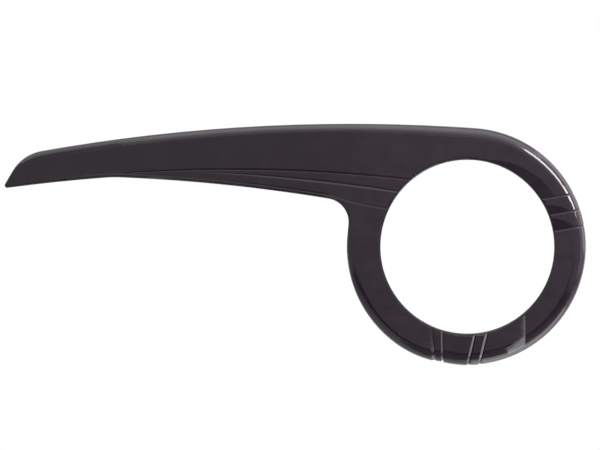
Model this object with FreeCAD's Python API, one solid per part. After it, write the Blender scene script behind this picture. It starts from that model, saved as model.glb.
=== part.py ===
import FreeCAD, Part
import math
import os
from FreeCAD import Vector

# Bicycle chain guard, one moulded shell. Sizes in millimetres.
# The origin is on the crank axis, in the plane where the bracket seats on the screw bosses.
# +X points forward along the bicycle, +Z up, and the face of the guard looks along -Y.

# Shell
depth = 25.0
wall = 2.3
face_y = -depth

# Ring around the crank opening. The outer circle sits slightly above the axis.
opening_radius = 75.0
ring_radius = 102.45
ring_centre = (0.1, 0.35)
shoulder_ring = 10.5

# Rear half of the ring: a wider circle, and a tighter arc that brings it in at the bottom
rear_growth = 0.55
rear_ring_centre = (-1.1, -0.4)
heel_tightening = 18.0
heel_angle = -126.0
heel_end_angle = -97.0
shoulder_heel = 9.5
shoulder_rear_ring = 8.0
shoulder_neck = 3.0

# Arm: upper edge, nose and lower edge. The nose and the peak of the lower edge are placed by
# a drop below the crest, and the root of the arm by its rise above the crank axis.
crest_x = -101.0
crest_rise = 3.5
top_radius = 1525.0
shoulder_top = 8.5
tip_x = -401.5
tip_drop = 56.1
nose_angle = 60.0
nose_radius = 36.0
shoulder_nose = 3.0
tip_radius = 2.2
edge_tip = 1.8
peak_x = -306.0
peak_drop = 46.2
peak_radius = 120.0
lower_front_radius = 1500.0
lower_rear_radius = 1480.0
root_x = -118.0
root_rise = 41.2
corner_radius = 20.5
neck_inset = 1.5
edge_lower = 1.8
tip_hollow_spare = 0.5

# Lines of the overlapping scales: the angle where each leaves the ring, and its direction
angles_a = (26.4, 9.5)
angles_b = (18.1, 9.7)
angles_c = (10.1, 10.3)
angles_g = (-83.9, -104.0)
angles_f = (-89.5, -103.7)
angles_e = (-101.9, -89.3)
angles_d = (-105.8, -85.3)
heel_fade_angle = -122.0
join_angle = 50.0
join_overlap = 5.0
scale_lift = 0.6

# Valley along each line: its depth, how wide it falls and how wide the next scale's edge rises
side_depth = 0.5
side_fall = 1.2
side_rise = 0.9
bottom_depth = 0.7
bottom_fall = 0.7
rise_g = 2.0
rise_f = 2.0
rise_e = 1.4
rise_d = 2.8

# Dips in the face before lines a, b and c: where the rounded edge of the dip starts on the
# opening, how far inside the ring it ends on the line, and its radius
dip_a_angle = 83.0
dip_a_margin = 16.0
dip_a_radius = 68.0
dip_b_angle = 28.5
dip_b_margin = 8.0
dip_b_radius = 40.0
dip_c_angle = 19.5
dip_c_margin = 7.0
dip_c_radius = 40.0
dip_slope_angle = 4.0
dip_start_angle = 95.0

# Creases on the arm: arcs through three points, each a place along X and a drop below the
# crest. One more crease follows the lower edge.
crease_upper = ((-368.6, 49.3), (-195.9, 39.9), (-44.0, 49.2))
crease_middle = ((-236.0, 41.6), (-161.4, 46.3), (-53.0, 59.8))
crease_lower = ((-123.0, 61.0), (-100.9, 66.8), (-64.0, 74.2))
rim_inset = 3.3

# Cross-sections of the creases: depth, width of the fall and width of the rise
cut_upper = (0.3, 1.5, 0.8)
cut_middle = (0.6, 1.3, 1.3)
cut_lower = (0.55, 0.8, 1.6)
cut_rim = (0.35, 1.2, 1.0)
crease_clear = 1.0

# Lip of the crank opening, eased over in narrow flats, and the collar behind it
lip_radius = 2.2
lip_flats = 3
collar_depth = 6.0

# Rear edge of the flange: shallower toward the nose, and low under the arm for the chain
taper_start_x = -120.0
nose_cut = 11.0
low_rim = 8.0
low_rim_run = 14.0
low_rim_inset = 10.0
low_rim_angles = (162.0, -162.0, -132.0, -116.0)
low_rim_end_angle = -110.0
low_rim_nose = 28.0
low_rim_height = 12.0
low_rim_root_height = 17.0

# Screw bosses on the ring for the bracket, and on the arm for the chainstay clip
boss_inset = 5.45
boss_angles = (30.0, 150.0, 270.0)
boss_radius = 4.0
pilot_radius = 2.0
pilot_depth = 12.0
clip_x = -250.0
clip_drop = 26.3
clip_spacing = 20.0

# Ribs inside
rib_thickness = 1.6
rib_height = 4.0
ring_rib_angles = (0.0, 60.0, 95.0, 180.0, 215.0, 240.0, 300.0, 330.0)
arm_rib_x = (-345.0, -300.0, -205.0, -155.0)
gusset_height = 12.0
gusset_length = 7.0

# Cutting shapes reach past the shell, into the crank opening and right round the ring
crank = (0.0, 0.0)
over = 5.0
past_seat = 10.0
into_opening = 4.0
past_ring = 20.0
far = 160.0
touching = 1e-4

# Sizes and places that follow from the ring
rear_ring_radius = ring_radius + rear_growth
heel_radius = rear_ring_radius - heel_tightening
boss_circle = ring_radius - boss_inset
crest_z = ring_centre[1] + ring_radius + crest_rise
tip = (tip_x, crest_z - tip_drop)
peak = (peak_x, crest_z - peak_drop)
arm_root = (root_x, root_rise)
clip_z = crest_z - clip_drop


def at_angle(centre, radius, degrees):
    turn = math.radians(degrees)
    return (centre[0] + radius * math.cos(turn), centre[1] + radius * math.sin(turn))


def toward(centre, point, radius):
    """Point at a radius from the centre, in the direction of another point."""
    dx = point[0] - centre[0]
    dz = point[1] - centre[1]
    reach = math.hypot(dx, dz)
    return (centre[0] + dx / reach * radius, centre[1] + dz / reach * radius)


def crossings(c1, r1, c2, r2):
    """Both crossings of two circles, the rearward one first."""
    dx = c2[0] - c1[0]
    dz = c2[1] - c1[1]
    gap = math.hypot(dx, dz)
    along = (r1 * r1 - r2 * r2 + gap * gap) / (2.0 * gap)
    across = math.sqrt(r1 * r1 - along * along)
    ux = dx / gap
    uz = dz / gap
    one = (c1[0] + along * ux - across * uz, c1[1] + along * uz + across * ux)
    two = (c1[0] + along * ux + across * uz, c1[1] + along * uz - across * ux)
    return sorted([one, two])


def centre_below(p, q, radius):
    """Centre of an arc through two points that bulges upward, p behind q."""
    return min(crossings(p, radius, q, radius), key=lambda c: c[1])


def on_shifted_line(start, direction, shift, centre, radius):
    """Point of a line, shifted to its right, that lies at a radius from a centre."""
    ux, uz = direction
    px = start[0] + uz * shift - centre[0]
    pz = start[1] - ux * shift - centre[1]
    half = px * ux + pz * uz
    step = -half + math.sqrt(half * half - px * px - pz * pz + radius * radius)
    return (centre[0] + px + step * ux, centre[1] + pz + step * uz)


def flat(point, y):
    return Vector(point[0], y, point[1])


def arc(centre, radius, start, end, rising, y):
    """Arc about a centre; rising is the counter-clockwise sense seen from the front."""
    first = math.atan2(start[1] - centre[1], start[0] - centre[0])
    last = math.atan2(end[1] - centre[1], end[0] - centre[0])
    while rising and last < first:
        last += 2.0 * math.pi
    while not rising and last > first:
        last -= 2.0 * math.pi
    middle = at_angle(centre, radius, math.degrees((first + last) / 2.0))
    return Part.Arc(flat(start, y), flat(middle, y), flat(end, y)).toShape()


def line(start, end, y):
    return Part.makeLine(flat(start, y), flat(end, y))


# Centres of the arm's arcs, shared by the outer form and the cavity
top_centre = (crest_x, crest_z - top_radius)
crest_offset = ring_centre[0] - crest_x
crest_height = crest_z - ring_centre[1]
front_radius = (crest_offset ** 2 + crest_height ** 2 - ring_radius ** 2) / (2.0 * crest_rise)
front_centre = (crest_x, crest_z - front_radius)
slant = (math.cos(math.radians(nose_angle)), math.sin(math.radians(nose_angle)))
slant_inward = (slant[1], -slant[0])
nose_centre = on_shifted_line(tip, slant, nose_radius, top_centre, top_radius - nose_radius)
lower_front_centre = centre_below(tip, peak, lower_front_radius)
lower_rear_centre = centre_below(peak, arm_root, lower_rear_radius)
peak_centre = max(crossings(lower_front_centre, lower_front_radius - peak_radius,
                            lower_rear_centre, lower_rear_radius - peak_radius),
                  key=lambda c: c[1])
corner_x = rear_ring_centre[0] - rear_ring_radius + neck_inset - corner_radius
corner_rise = math.sqrt((lower_rear_radius - corner_radius) ** 2
                        - (corner_x - lower_rear_centre[0]) ** 2)
corner_centre = (corner_x, lower_rear_centre[1] + corner_rise)
neck_gap = math.hypot(corner_centre[0] - rear_ring_centre[0],
                      corner_centre[1] - rear_ring_centre[1])
neck_lean = math.acos((rear_ring_radius + corner_radius) / neck_gap)
neck_turn = math.degrees(math.atan2(corner_centre[1] - rear_ring_centre[1],
                                    corner_centre[0] - rear_ring_centre[0]) + neck_lean)
heel_centre = at_angle(rear_ring_centre, rear_ring_radius - heel_radius, heel_angle)

# The bevel inside lies one wall behind the middle of the ring's shoulder
cavity_front = face_y + wall
bevel = (2.0 - math.sqrt(2.0)) * (shoulder_ring - wall)
tip_hollow_radius = bevel + tip_hollow_spare


def arm_outline(inset, tip_round, front):
    """Edges of the arm and the rear of the ring, shrunk by an inset, with their roundings."""
    tip_centre = on_shifted_line(tip, slant, inset + tip_round, lower_front_centre,
                                 lower_front_radius + inset + tip_round)
    tip_front = (tip_centre[0] - slant_inward[0] * tip_round,
                 tip_centre[1] - slant_inward[1] * tip_round)
    tip_low = toward(lower_front_centre, tip_centre, lower_front_radius + inset)
    nose_front = (nose_centre[0] - slant_inward[0] * (nose_radius - inset),
                  nose_centre[1] - slant_inward[1] * (nose_radius - inset))
    nose_top = toward(top_centre, nose_centre, top_radius - inset)
    crest = (crest_x, crest_z - inset)
    ring_start = toward(front_centre, ring_centre, front_radius - inset)
    ring_end = at_angle(ring_centre, ring_radius - inset, join_angle - join_overlap)
    heel_end = at_angle(heel_centre, heel_radius - inset, heel_end_angle)
    heel_start = at_angle(heel_centre, heel_radius - inset, heel_angle)
    neck_ring = at_angle(rear_ring_centre, rear_ring_radius - inset, neck_turn)
    neck_corner = at_angle(corner_centre, -(corner_radius + inset), neck_turn)
    corner_top = toward(lower_rear_centre, corner_centre, lower_rear_radius + inset)
    peak_rear = toward(lower_rear_centre, peak_centre, lower_rear_radius + inset)
    peak_front = toward(lower_front_centre, peak_centre, lower_front_radius + inset)

    return [
        (line(tip_front, nose_front, front), edge_tip, shoulder_nose),
        (arc(nose_centre, nose_radius - inset, nose_front, nose_top, False, front),
         shoulder_nose, shoulder_top),
        (arc(top_centre, top_radius - inset, nose_top, crest, False, front),
         shoulder_top, shoulder_top),
        (arc(front_centre, front_radius - inset, crest, ring_start, False, front),
         shoulder_top, shoulder_ring),
        (arc(ring_centre, ring_radius - inset, ring_start, ring_end, False, front),
         shoulder_ring, shoulder_ring),
        (line(ring_end, heel_end, front), 0.0, 0.0),
        (arc(heel_centre, heel_radius - inset, heel_end, heel_start, False, front),
         shoulder_heel, shoulder_rear_ring),
        (arc(rear_ring_centre, rear_ring_radius - inset, heel_start, neck_ring, False, front),
         shoulder_rear_ring, shoulder_neck),
        (line(neck_ring, neck_corner, front), shoulder_neck, edge_lower),
        (arc(corner_centre, corner_radius + inset, neck_corner, corner_top, True, front),
         edge_lower, edge_lower),
        (arc(lower_rear_centre, lower_rear_radius + inset, corner_top, peak_rear, True, front),
         edge_lower, edge_lower),
        (arc(peak_centre, peak_radius + inset, peak_rear, peak_front, True, front),
         edge_lower, edge_lower),
        (arc(lower_front_centre, lower_front_radius + inset, peak_front, tip_low, True, front),
         edge_lower, edge_tip),
        (arc(tip_centre, tip_round, tip_low, tip_front, False, front), edge_tip, edge_tip),
    ]


# Places of the lower edge in that list, from the neck to the tip
lower_edge = slice(10, 13)


def arm_form(inset, front, rear):
    """Solid of the arm and the rear of the ring with its front edge rounded."""
    rounded = arm_outline(inset, tip_radius - inset, front)
    block = Part.Face(Part.Wire([edge for edge, start, end in rounded]))
    block = block.extrude(Vector(0, rear - front, 0))
    fillets = []
    for number, edge in enumerate(block.Edges, 1):
        first = edge.Vertexes[0].Point
        last = edge.Vertexes[-1].Point
        if abs(first.y - front) > touching or abs(last.y - front) > touching:
            continue
        for source, start, end in rounded:
            if start == 0.0:
                continue
            head = source.Vertexes[0].Point
            tail = source.Vertexes[-1].Point
            start -= inset
            end -= inset
            if first.distanceToPoint(head) < touching and last.distanceToPoint(tail) < touching:
                fillets.append((number, start, end))
            elif first.distanceToPoint(tail) < touching and last.distanceToPoint(head) < touching:
                fillets.append((number, end, start))
    holder = FreeCAD.newDocument()
    base = holder.addObject("Part::Feature", "base")
    base.Shape = block
    rounding = holder.addObject("Part::Fillet", "rounding")
    rounding.Base = base
    rounding.Edges = fillets
    holder.recompute()
    form = rounding.Shape.Solids[0].copy()
    FreeCAD.closeDocument(holder.Name)
    return form


def ring_disc(inset, front, rear):
    """Plain disc of the ring shrunk by an inset, and its front edge."""
    disc = Part.makeCylinder(ring_radius - inset, rear - front, flat(ring_centre, front),
                             Vector(0, 1, 0))
    rim = [e for e in disc.Edges if e.Closed and abs(e.CenterOfMass.y - front) < touching]
    return disc, rim


def ring_form(inset, front, rear):
    """Disc of the ring with the shoulder on its front edge."""
    disc, rim = ring_disc(inset, front, rear)
    return disc.makeFillet(shoulder_ring - inset, rim)


def ring_hollow():
    """Space inside the ring, with a flat bevel under the shoulder."""
    disc, rim = ring_disc(wall, cavity_front, past_seat)
    return disc.makeChamfer(bevel, rim)


def arm_hollow():
    """Space inside the arm and the rear of the ring, with the same bevel."""
    outline = arm_outline(wall, tip_hollow_radius, cavity_front)
    block = Part.Face(Part.Wire([edge for edge, start, end in outline]))
    block = block.extrude(Vector(0, past_seat - cavity_front, 0))
    open_side = [edge for edge, start, end in outline if start == 0.0][0]
    rim = []
    for edge in block.Edges:
        level = max(abs(vertex.Y - cavity_front) for vertex in edge.Vertexes)
        away = edge.CenterOfMass.distanceToPoint(open_side.CenterOfMass)
        if level < touching and away > touching:
            rim.append(edge)
    return block.makeChamfer(bevel, rim)


def scale_line(angle, direction):
    """Line that leaves the ring at an angle: its outer end and its outward direction."""
    x, z = at_angle(crank, ring_radius, angle)
    return (x, z, direction)


def radial(angle):
    return scale_line(angle, angle)


def reach(cut):
    """A line drawn from inside the crank opening to outside the ring."""
    x, z, degrees = cut
    ux, uz = at_angle(crank, 1.0, degrees)
    along = x * ux + z * uz
    within = opening_radius - into_opening
    back = along - math.sqrt(along * along - x * x - z * z + within * within)
    return (x - back * ux, z - back * uz), (x + past_ring * ux, z + past_ring * uz)


def shifted(cut, distance):
    """A line moved sideways, clockwise around the ring when the distance is positive."""
    x, z, degrees = cut
    sx, sz = at_angle(crank, distance, degrees - 90.0)
    return (x + sx, z + sz, degrees)


def prism(corners):
    """Upright block over a many-sided outline, deeper than the shell."""
    points = [flat(corner, face_y - over) for corner in corners]
    block = Part.Face(Part.makePolygon(points + points[:1]))
    return block.extrude(Vector(0, over + depth + past_seat, 0))


def sector(first, last):
    """Prism between two lines of the ring, first before last going clockwise."""
    in1, out1 = reach(first)
    in2, out2 = reach(last)
    a1 = math.degrees(math.atan2(out1[1], out1[0]))
    a2 = math.degrees(math.atan2(out2[1], out2[0]))
    while a2 > a1:
        a2 -= 360.0
    bulge = at_angle(crank, far, (a1 + a2) / 2.0)
    return prism([in1, out1, bulge, out2, in2])


def section(form, cut):
    """Outline of a form where an upright plane crosses it along a line of the ring."""
    inner, outer = reach(cut)
    points = [flat(inner, face_y - over), flat(outer, face_y - over),
              flat(outer, past_seat), flat(inner, past_seat)]
    plane = Part.Face(Part.makePolygon(points + points[:1]))
    return plane.common(form).Faces[0].OuterWire


def strip(form1, cut1, form2, cut2):
    """Short ruled solid between the sections of two forms."""
    return Part.makeLoft([section(form1, cut1), section(form2, cut2)], True, True)


def lifted(form, lead, foot):
    """The form tipped about its trailing line so that its leading edge stands proud."""
    start = flat(foot, face_y)
    forward = flat(lead, face_y).sub(start)
    length = forward.Length
    forward.normalize()
    outward = Vector(foot[0] + lead[0], 0, foot[1] + lead[1])
    outward = outward.sub(forward * outward.dot(forward))
    outward.normalize()
    outward = outward.add(Vector(0, -1, 0))
    outward.normalize()
    tipped = form.copy()
    tipped.rotate(start, forward.cross(outward), math.degrees(math.asin(scale_lift / length)))
    return tipped


def dip(start_angle, margin, radius, first, cut):
    """Shallow cone that sinks the face between two lines, toward the inner end of the second."""
    x, z, degrees = cut
    back_x, back_z = at_angle(crank, margin, degrees)
    start = at_angle(crank, opening_radius, start_angle)
    centre = centre_below(start, (x - back_x, z - back_z), radius)
    steep = math.tan(math.radians(dip_slope_angle))
    cone = Part.makeCone(radius + crease_clear / steep, 0.0, radius * steep + crease_clear,
                         flat(centre, face_y - crease_clear), Vector(0, 1, 0))
    return cone.common(sector(first, cut))


ring = ring_form(0.0, face_y, over)
ring_low = ring_form(side_depth, face_y + side_depth, over)
ring_deep = ring_form(bottom_depth, face_y + bottom_depth, over)
arm = arm_form(0.0, face_y, over)
arm_deep = arm_form(bottom_depth, face_y + bottom_depth, over)

join = radial(join_angle)
heel_fade = radial(heel_fade_angle)
line_a = scale_line(*angles_a)
line_b = scale_line(*angles_b)
line_c = scale_line(*angles_c)
line_g = scale_line(*angles_g)
line_f = scale_line(*angles_f)
line_e = scale_line(*angles_e)
line_d = scale_line(*angles_d)
scale_gf = lifted(ring, line_g, line_f)
scale_fe = lifted(ring, line_f, line_e)
scale_heel = lifted(arm, line_d, heel_fade)

# Going clockwise: a plain stretch from a line, then a valley at the next one and the edge
# of the next scale
pieces = []
steps = [
    (ring, join, 0.0, line_a, side_fall, ring_low, ring, side_rise),
    (ring, line_a, side_rise, line_b, side_fall, ring_low, ring, side_rise),
    (ring, line_b, side_rise, line_c, side_fall, ring_low, ring, side_rise),
    (ring, line_c, side_rise, line_g, bottom_fall, ring_deep, scale_gf, rise_g),
    (scale_gf, line_g, rise_g, line_f, bottom_fall, ring_deep, scale_fe, rise_f),
    (scale_fe, line_f, rise_f, line_e, bottom_fall, arm_deep, arm, rise_e),
    (arm, line_e, rise_e, line_d, bottom_fall, arm_deep, scale_heel, rise_d),
]
for form, start, gap, cut, fall, low, following, rise in steps:
    before = shifted(cut, -fall)
    after = shifted(cut, rise)
    pieces.append(form.common(sector(shifted(start, gap), before)))
    pieces.append(strip(form, before, low, cut))
    pieces.append(strip(low, cut, following, after))
pieces.append(scale_heel.common(sector(shifted(line_d, rise_d), heel_fade)))

# The rest of the arm form, from the heel round the nose to the join on the ring
left_x = tip[0] - over


def rearward(cut):
    """Block behind a line at the bottom of the ring and behind the join at its top."""
    low_in, low_out = reach(cut)
    join_in, join_out = reach(join)
    return prism([low_in, low_out, (left_x, -far), (left_x, far), (join_out[0], far),
                  join_out, join_in])


pieces.append(arm.common(rearward(heel_fade)))
outer = pieces[0].multiFuse(pieces[1:])
dips = [
    dip(dip_a_angle, dip_a_margin, dip_a_radius, radial(dip_start_angle), line_a),
    dip(dip_b_angle, dip_b_margin, dip_b_radius, line_a, line_b),
    dip(dip_c_angle, dip_c_margin, dip_c_radius, line_b, line_c),
]
for dip_form in dips:
    outer = outer.cut(dip_form)

# Hollow inside, one wall thinner all round
hollow_ring = ring_hollow().common(sector(join, line_e))
hollow_arm = arm_hollow().common(rearward(line_e))
shell = outer.cut(hollow_ring.fuse(hollow_arm))


def crease(path, start, along, cross_section):
    """Groove along a path on the face: the surface falls into it, then rises below it."""
    deep, fall, rise = cross_section
    across = Vector(along.z, 0, -along.x).normalize()
    if across.z > 0:
        across = across * -1.0
    front = Vector(0, -1, 0)
    grow = 1.0 + crease_clear / deep
    corners = [start - front * deep,
               start - across * (fall * grow) + front * crease_clear,
               start + across * (rise * grow) + front * crease_clear]
    profile = Part.makePolygon(corners + corners[:1])
    sweep = Part.BRepOffsetAPI.MakePipeShell(Part.Wire(path))
    sweep.setBiNormalMode(front)
    sweep.add(profile)
    sweep.build()
    sweep.makeSolid()
    return sweep.shape()


def curved_crease(points, cross_section, begin_y):
    """Crease along an arc through three points, whose first point has its own level."""
    first, middle, last = [(x, crest_z - drop) for x, drop in points]
    start = flat(first, begin_y)
    curve = Part.Arc(start, flat(middle, face_y), flat(last, face_y)).toShape()
    return crease(curve, start, curve.tangentAt(curve.FirstParameter), cross_section)


# Creases that part the panels of the arm. The upper two rise out of the face at the rear.
rim_edges = [edge for edge, first, last in arm_outline(rim_inset, tip_radius, face_y)[lower_edge]]
rim_start = rim_edges[0].Vertexes[0].Point
creases = [
    curved_crease(crease_upper, cut_upper, face_y - cut_upper[0]),
    curved_crease(crease_middle, cut_middle, face_y - cut_middle[0]),
    curved_crease(crease_lower, cut_lower, face_y),
    crease(rim_edges, rim_start, rim_edges[0].tangentAt(rim_edges[0].FirstParameter), cut_rim),
]
for groove in creases:
    shell = shell.cut(groove)

# Collar behind the crank opening, then the opening with its eased lip
axis = Vector(0, 1, 0)
collar = Part.makeCylinder(opening_radius + wall, collar_depth - wall / 2.0,
                           Vector(0, face_y + wall / 2.0, 0), axis)
shell = shell.fuse(collar)
shell = shell.cut(Part.makeCylinder(opening_radius, over + depth + past_seat,
                                    Vector(0, face_y - over, 0), axis))
lip_points = []
for step in range(lip_flats + 1):
    turn = math.pi / 2.0 * step / lip_flats
    lip_points.append(Vector(opening_radius + lip_radius * (1.0 - math.cos(turn)),
                             face_y + lip_radius * (1.0 - math.sin(turn)), 0))
lip_points += [lip_points[-1] + Vector(lip_radius, -lip_radius, 0),
               Vector(opening_radius - lip_radius, face_y - lip_radius, 0),
               Vector(opening_radius - lip_radius, face_y + lip_radius, 0), lip_points[0]]
lip = Part.Face(Part.makePolygon(lip_points)).revolve(Vector(0, 0, 0), axis, 360.0)
shell = shell.cut(lip)

# Rear edge: trimmed to the seat plane, rising toward the nose
taper_end_x = tip[0] - over
taper_middle_x = (taper_start_x + taper_end_x) / 2.0
taper = Part.Arc(Vector(taper_start_x, 0, 0), Vector(taper_middle_x, -nose_cut / 4.0, 0),
                 Vector(taper_end_x, -nose_cut, 0)).toShape()
rear_outline = Part.makePolygon([Vector(taper_end_x, -nose_cut, 0),
                                 Vector(taper_end_x, past_seat, 0),
                                 Vector(far, past_seat, 0),
                                 Vector(far, 0, 0), Vector(taper_start_x, 0, 0)])
rear_face = Part.Face(Part.Wire([taper] + rear_outline.Edges))
rear_face.translate(Vector(0, 0, -far))
rear = rear_face.extrude(Vector(0, 0, 2.0 * far))
shell = shell.cut(rear)

# Low rim under the arm and behind the ring, where the chain runs out
rim_y = face_y + low_rim
nose_corners = [
    (tip[0] + low_rim_nose, tip[1] - low_rim_height),
    (tip[0] + low_rim_nose, tip[1] + low_rim_height),
]
arm_corners = [
    (peak[0], peak[1] + low_rim_height),
    (arm_root[0], arm_root[1] + low_rim_root_height),
]
ring_corners = [at_angle(crank, ring_radius - low_rim_inset, angle) for angle in low_rim_angles]
bottom_corners = [ring_corners.pop(), at_angle(crank, ring_radius + past_ring, low_rim_end_angle)]
outside_corners = [
    (-ring_radius - 2.0 * past_ring, -ring_radius - past_ring),
    (-ring_radius - 2.0 * past_ring, arm_root[1] - past_ring),
]
rim_path = nose_corners + arm_corners + ring_corners + bottom_corners + outside_corners
rim_wide = [(x - low_rim_run, z) for x, z in nose_corners] + arm_corners + ring_corners
rim_wide += [(x + low_rim_run, z) for x, z in bottom_corners] + outside_corners
low_points = [flat(corner, rim_y) for corner in rim_path]
high_points = [flat(corner, over) for corner in rim_wide]
relief = Part.makeLoft([Part.makePolygon(low_points + low_points[:1]),
                        Part.makePolygon(high_points + high_points[:1])], True, True)
shell = shell.cut(relief)

# Screw bosses with their gussets, and low ribs across the inside of the face
floor_y = face_y + wall / 2.0


def post(x, z):
    return Part.makeCylinder(boss_radius, -floor_y, Vector(x, floor_y, z), axis)


def pilot(x, z):
    return Part.makeCylinder(pilot_radius, pilot_depth + over,
                             Vector(x, -pilot_depth, z), axis)


def gusset(x, z, degrees):
    """Three-sided web from the foot of a boss, leaning against it."""
    ux, uz = at_angle(crank, 1.0, degrees)
    run = boss_radius + gusset_length
    points = [Vector(x, floor_y, z), Vector(x + ux * run, floor_y, z + uz * run),
              Vector(x, cavity_front + gusset_height, z)]
    web = Part.Face(Part.makePolygon(points + points[:1]))
    side = Vector(-uz, 0, ux) * rib_thickness
    web.translate(side * -0.5)
    return web.extrude(side)


def rib(start, end):
    """Low rib between two points of the face."""
    length = math.hypot(end[0] - start[0], end[1] - start[1])
    block = Part.makeBox(length, rib_height + wall / 2.0, rib_thickness)
    block.translate(Vector(0, floor_y, -rib_thickness / 2.0))
    turn = math.degrees(math.atan2(end[1] - start[1], end[0] - start[0]))
    block.rotate(Vector(0, 0, 0), Vector(0, -1, 0), turn)
    block.translate(flat(start, 0))
    return block


inside = []
holes = []
for degrees in boss_angles:
    x, z = at_angle(crank, boss_circle, degrees)
    inside.append(post(x, z))
    holes.append(pilot(x, z))
    for turn in (90.0, 180.0, 270.0):
        inside.append(gusset(x, z, degrees + turn))
for side in (-0.5, 0.5):
    x = clip_x + side * clip_spacing
    inside.append(post(x, clip_z))
    holes.append(pilot(x, clip_z))
    for turn in (90.0, 270.0):
        inside.append(gusset(x, clip_z, turn))
for degrees in ring_rib_angles:
    inside.append(rib(at_angle(crank, opening_radius + wall / 2.0, degrees),
                      at_angle(crank, ring_radius + over, degrees)))
for x in arm_rib_x:
    inside.append(rib((x, 0.0), (x, far)))
fittings = inside[0].multiFuse(inside[1:]).common(outer)
guard = shell.fuse(fittings)
for hole in holes:
    guard = guard.cut(hole)
guard = guard.removeSplitter().Solids[0]

os.makedirs("parts", exist_ok=True)
guard.exportStep("parts/chain_guard.step")
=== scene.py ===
import math

import bpy
from mathutils import Matrix, Vector


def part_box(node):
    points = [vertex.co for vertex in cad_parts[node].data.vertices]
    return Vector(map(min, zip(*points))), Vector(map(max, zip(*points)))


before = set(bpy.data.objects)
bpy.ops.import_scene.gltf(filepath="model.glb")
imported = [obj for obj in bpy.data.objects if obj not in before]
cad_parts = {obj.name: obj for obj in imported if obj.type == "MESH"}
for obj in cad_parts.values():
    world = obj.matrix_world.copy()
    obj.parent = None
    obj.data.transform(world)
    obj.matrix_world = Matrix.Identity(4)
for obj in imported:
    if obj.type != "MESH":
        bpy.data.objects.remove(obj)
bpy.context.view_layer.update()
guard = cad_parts["chain_guard"]
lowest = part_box("chain_guard")[0]

# All lengths are in metres. The face looks toward -Y, the arm lies toward -X
x_axis = (1.0, 0.0, 0.0)
z_axis = (0.0, 0.0, 1.0)
ring_centre = (0.0, 0.0, 0.0)

# Camera, square on to the face and far enough off to flatten the perspective
camera_distance = 12.0
camera_range = 100.0
sensor_width = 36.0
frame_width = 0.518
view_centre_x = -0.1445
view_centre_z = 0.01875

# Floor, a pale disc well below the guard
floor_drop = 0.30
floor_radius = 1.5
floor_sides = 96
floor_grey = 0.9
floor_roughness = 0.7

# World: white where it is seen or reflected, dimmer where it lights the matt colours
white = (1.0, 1.0, 1.0, 1.0)
seen_strength = 1.0
ambient_strength = 0.5

# Cards that the gloss reflects: a low one just above the floor and one far in front
card_lift = 0.01
card_roughness = 0.9
low_card_grey = 0.3
low_card_outline = [(-1.5, -3.0), (0.9, -3.0), (0.9, -0.15), (0.0, -0.15),
                    (-0.12, -0.05), (-0.25, -0.25), (-0.25, -0.85), (-1.5, -0.85)]
front_card_grey = 0.75
front_card_y = -3.0
front_card_left = -0.8
front_card_right = 0.9
front_card_top = -0.125

# Plastic: the pigment of the arm, and how far the ring's leans toward a lighter one
refraction = 1.41
arm_black = (0.0056, 0.0010, 0.0056, 1.0)
light_black = (0.0125, 0.0065, 0.0125, 1.0)
ring_share = 0.55
arm_ends_x = -0.15
ring_starts_x = -0.06

# Plastic: texture. A scale counts the cells in a metre
noise_body = (0.3, 0.7)
mottle_scale = 70.0
mottle_detail = 3.0
mottle_swing = 0.25
streak_scale = 260.0
streak_detail = 2.0
streak_squeeze = (0.08, 1.0, 1.0)
roughness_range = (0.09, 0.15)
peel_scale = 240.0
peel_detail = 1.0
peel_height = 0.000008


def link_to_scene(name, data):
    thing = bpy.data.objects.new(name, data)
    bpy.context.scene.collection.objects.link(thing)
    return thing


def add_camera():
    data = bpy.data.cameras.new("camera")
    data.sensor_width = sensor_width
    data.lens = sensor_width * camera_distance / frame_width
    data.clip_end = camera_range
    camera = link_to_scene("camera", data)
    camera.location = (view_centre_x, lowest.y - camera_distance, view_centre_z)
    aim = Vector((view_centre_x, 0.0, view_centre_z))
    camera.rotation_euler = (aim - camera.location).to_track_quat("-Z", "Y").to_euler()
    bpy.context.scene.camera = camera


def toward(azimuth, polar, distance=1.0):
    """Point in a direction: azimuth round the face from +X toward +Z, polar away from -Y."""
    turn = math.radians(azimuth)
    lean = math.radians(polar)
    return Vector((math.sin(lean) * math.cos(turn), -math.cos(lean),
                   math.sin(lean) * math.sin(turn))) * distance


def add_lamp(name, place, aim, along, width, height, brightness):
    """Panel that faces its aim, with its width along a direction. It adds to the white."""
    data = bpy.data.lights.new(name, "AREA")
    data.shape = "RECTANGLE"
    data.size = width
    data.size_y = height
    data.energy = brightness * math.pi * width * height
    lamp = link_to_scene(name, data)
    back = (Vector(place) - Vector(aim)).normalized()
    up = back.cross(Vector(along)).normalized()
    side = up.cross(back)
    turn = Matrix((side, up, back)).transposed()
    lamp.matrix_world = Matrix.Translation(place) @ turn.to_4x4()
    lamp.visible_camera = False
    return lamp


def add_overhead_lamps():
    """Softbox overhead that fades toward the front in three steps."""
    add_lamp("top_softbox", place=(-0.1, -0.05, 0.9), aim=(-0.1, -0.05, 0.0), along=x_axis,
             width=1.8, height=0.8, brightness=1.35)
    add_lamp("top_middle", place=(0.19, -0.25, 0.88), aim=(0.19, -0.1, 0.0), along=x_axis,
             width=1.2, height=1.1, brightness=0.70)
    add_lamp("top_front", place=(0.19, -0.50, 0.86), aim=(0.19, -0.1, 0.0), along=x_axis,
             width=1.2, height=1.5, brightness=0.55)


def add_strip_lamp():
    """Bright strip whose reflection lies along the upper right of the ring's shoulder."""
    top = toward(azimuth=59, polar=59, distance=0.8)
    end = toward(azimuth=18, polar=71, distance=0.8)
    add_lamp("strip", place=(top + end) / 2, aim=ring_centre, along=end - top,
             width=(end - top).length, height=0.2, brightness=26.0)


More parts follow.
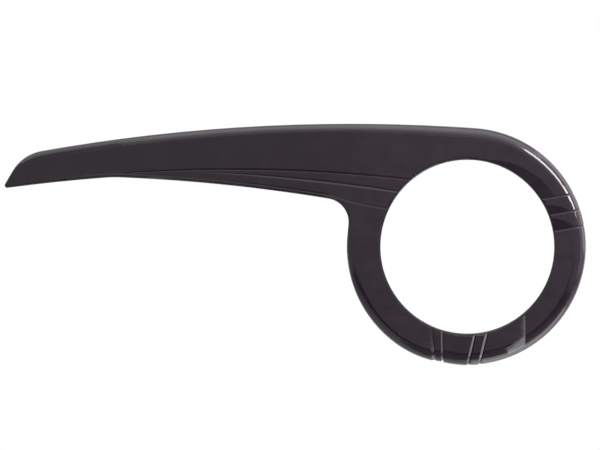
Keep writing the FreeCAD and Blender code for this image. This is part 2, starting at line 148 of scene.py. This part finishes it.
def add_right_lamps():
    add_lamp("right_softbox", place=toward(azimuth=25, polar=108, distance=0.9), aim=ring_centre,
             along=toward(azimuth=115, polar=90), width=0.9, height=0.5, brightness=2.2)
    add_lamp("right_front", place=toward(azimuth=20, polar=80, distance=0.95), aim=ring_centre,
             along=toward(azimuth=110, polar=90), width=1.3, height=0.5, brightness=1.0)
    add_lamp("low_panel", place=(0.30, 0.03, -0.38), aim=(0.30, 0.03, 0.0), along=x_axis,
             width=0.6, height=0.26, brightness=2.6)


def add_line_light(name, place, width, height, brightness):
    """Small panel that faces -X, edge-on to the camera. Only the gloss shows it."""
    lamp = add_lamp(name, place, Vector(place) - Vector(x_axis), z_axis, width, height,
                    brightness)
    lamp.visible_diffuse = False


def add_line_lights():
    """Panels that pick out the step lines at the bottom of the ring."""
    add_line_light("line_light", place=(0.05, -0.04, -0.095),
                   width=0.07, height=0.035, brightness=5.5)
    add_line_light("line_light_front", place=(0.05, -0.09, -0.095),
                   width=0.07, height=0.06, brightness=3.0)


def new_material(name):
    """Material whose nodes are only its output and one principled shader."""
    material = bpy.data.materials.new(name)
    material.use_nodes = True
    tree = material.node_tree
    tree.nodes.clear()
    output = tree.nodes.new("ShaderNodeOutputMaterial")
    shader = tree.nodes.new("ShaderNodeBsdfPrincipled")
    tree.links.new(shader.outputs["BSDF"], output.inputs["Surface"])
    return material, tree, shader


def plain_material(name, grey, roughness):
    material, _, shader = new_material(name)
    shader.inputs["Base Color"].default_value = (grey, grey, grey, 1.0)
    shader.inputs["Roughness"].default_value = roughness
    return material


def add_noise(tree, place, scale, detail):
    noise = tree.nodes.new("ShaderNodeTexNoise")
    noise.inputs["Scale"].default_value = scale
    noise.inputs["Detail"].default_value = detail
    tree.links.new(place, noise.inputs["Vector"])
    return noise.outputs["Fac"]


def spread_over(tree, value, source, target):
    """Maps the source range smoothly to the target range."""
    spread = tree.nodes.new("ShaderNodeMapRange")
    spread.interpolation_type = "SMOOTHSTEP"
    spread.inputs["From Min"].default_value = source[0]
    spread.inputs["From Max"].default_value = source[1]
    spread.inputs["To Min"].default_value = target[0]
    spread.inputs["To Max"].default_value = target[1]
    tree.links.new(value, spread.inputs["Value"])
    return spread.outputs["Result"]


def add_math(tree, operation, first, second, clamp=False):
    node = tree.nodes.new("ShaderNodeMath")
    node.operation = operation
    node.use_clamp = clamp
    tree.links.new(first, node.inputs[0])
    tree.links.new(second, node.inputs[1])
    return node.outputs["Value"]


def pigment(tree, place):
    """Black that turns a little lighter from the arm to the ring, with a faint mottle."""
    split = tree.nodes.new("ShaderNodeSeparateXYZ")
    tree.links.new(place, split.inputs["Vector"])
    lighter = spread_over(tree, split.outputs["X"], (arm_ends_x, ring_starts_x),
                          (0.0, ring_share))
    mottle = spread_over(tree, add_noise(tree, place, mottle_scale, mottle_detail),
                         noise_body, (-mottle_swing, mottle_swing))
    blend = tree.nodes.new("ShaderNodeMix")
    blend.data_type = "RGBA"
    blend.inputs["A"].default_value = arm_black
    blend.inputs["B"].default_value = light_black
    tree.links.new(add_math(tree, "ADD", lighter, mottle, clamp=True), blend.inputs["Factor"])
    return blend.outputs["Result"]


def flow_streaks(tree, place):
    """Roughness with long faint streaks, as the plastic flowed along the arm."""
    squeeze = tree.nodes.new("ShaderNodeMapping")
    squeeze.inputs["Scale"].default_value = streak_squeeze
    tree.links.new(place, squeeze.inputs["Vector"])
    streaks = add_noise(tree, squeeze.outputs["Vector"], streak_scale, streak_detail)
    return spread_over(tree, streaks, noise_body, roughness_range)


def orange_peel(tree, place):
    """Slight waviness of the gloss."""
    peel = tree.nodes.new("ShaderNodeBump")
    peel.inputs["Strength"].default_value = 1.0
    peel.inputs["Distance"].default_value = peel_height
    tree.links.new(add_noise(tree, place, peel_scale, peel_detail), peel.inputs["Height"])
    return peel.outputs["Normal"]


def moulded_plastic():
    material, tree, shader = new_material("gloss_black_plastic")
    shader.inputs["IOR"].default_value = refraction
    place = tree.nodes.new("ShaderNodeTexCoord").outputs["Object"]
    tree.links.new(pigment(tree, place), shader.inputs["Base Color"])
    tree.links.new(flow_streaks(tree, place), shader.inputs["Roughness"])
    tree.links.new(orange_peel(tree, place), shader.inputs["Normal"])
    return material


def add_stage_face(name, corners, material):
    """One flat face that isn't part of the object."""
    mesh = bpy.data.meshes.new(name)
    mesh.from_pydata(corners, [], [list(range(len(corners)))])
    mesh.materials.append(material)
    face = link_to_scene(name, mesh)
    return face


def add_floor():
    corners = []
    for step in range(floor_sides):
        turn = 2.0 * math.pi * step / floor_sides
        corners.append((view_centre_x + floor_radius * math.cos(turn),
                        floor_radius * math.sin(turn), lowest.z - floor_drop))
    add_stage_face("floor", corners, plain_material("pale_floor", floor_grey, floor_roughness))


def add_card(name, corners, grey):
    """Grey card. The gloss reflects it, the camera looks past it and it casts no shadow."""
    card = add_stage_face(name, corners, plain_material(name, grey, card_roughness))
    card.visible_camera = False
    card.visible_diffuse = False
    card.visible_shadow = False


def add_cards():
    level = lowest.z - floor_drop + card_lift
    add_card("low_card", [(x, y, level) for x, y in low_card_outline], low_card_grey)
    add_card("front_card", [(front_card_left, front_card_y, level),
                            (front_card_left, front_card_y, front_card_top),
                            (front_card_right, front_card_y, front_card_top),
                            (front_card_right, front_card_y, level)], front_card_grey)


def add_background(tree, strength):
    background = tree.nodes.new("ShaderNodeBackground")
    background.inputs["Color"].default_value = white
    background.inputs["Strength"].default_value = strength
    return background.outputs["Background"]


def set_world():
    """White for the camera, the gloss and anything clear, and dimmer as a light."""
    world = bpy.data.worlds.new("studio")
    bpy.context.scene.world = world
    world.use_nodes = True
    tree = world.node_tree
    tree.nodes.clear()
    path = tree.nodes.new("ShaderNodeLightPath")
    seen = add_math(tree, "MAXIMUM", path.outputs["Is Camera Ray"], path.outputs["Is Glossy Ray"])
    seen = add_math(tree, "MAXIMUM", seen, path.outputs["Is Transmission Ray"])
    choose = tree.nodes.new("ShaderNodeMixShader")
    tree.links.new(seen, choose.inputs["Fac"])
    tree.links.new(add_background(tree, ambient_strength), choose.inputs[1])
    tree.links.new(add_background(tree, seen_strength), choose.inputs[2])
    output = tree.nodes.new("ShaderNodeOutputWorld")
    tree.links.new(choose.outputs["Shader"], output.inputs["Surface"])


add_camera()
set_world()
add_floor()
add_overhead_lamps()
add_strip_lamp()
add_right_lamps()
add_line_lights()
add_cards()

plastic = moulded_plastic()
for slot in guard.material_slots:
    slot.material = plastic

bpy.context.scene.view_settings.view_transform = "Standard"
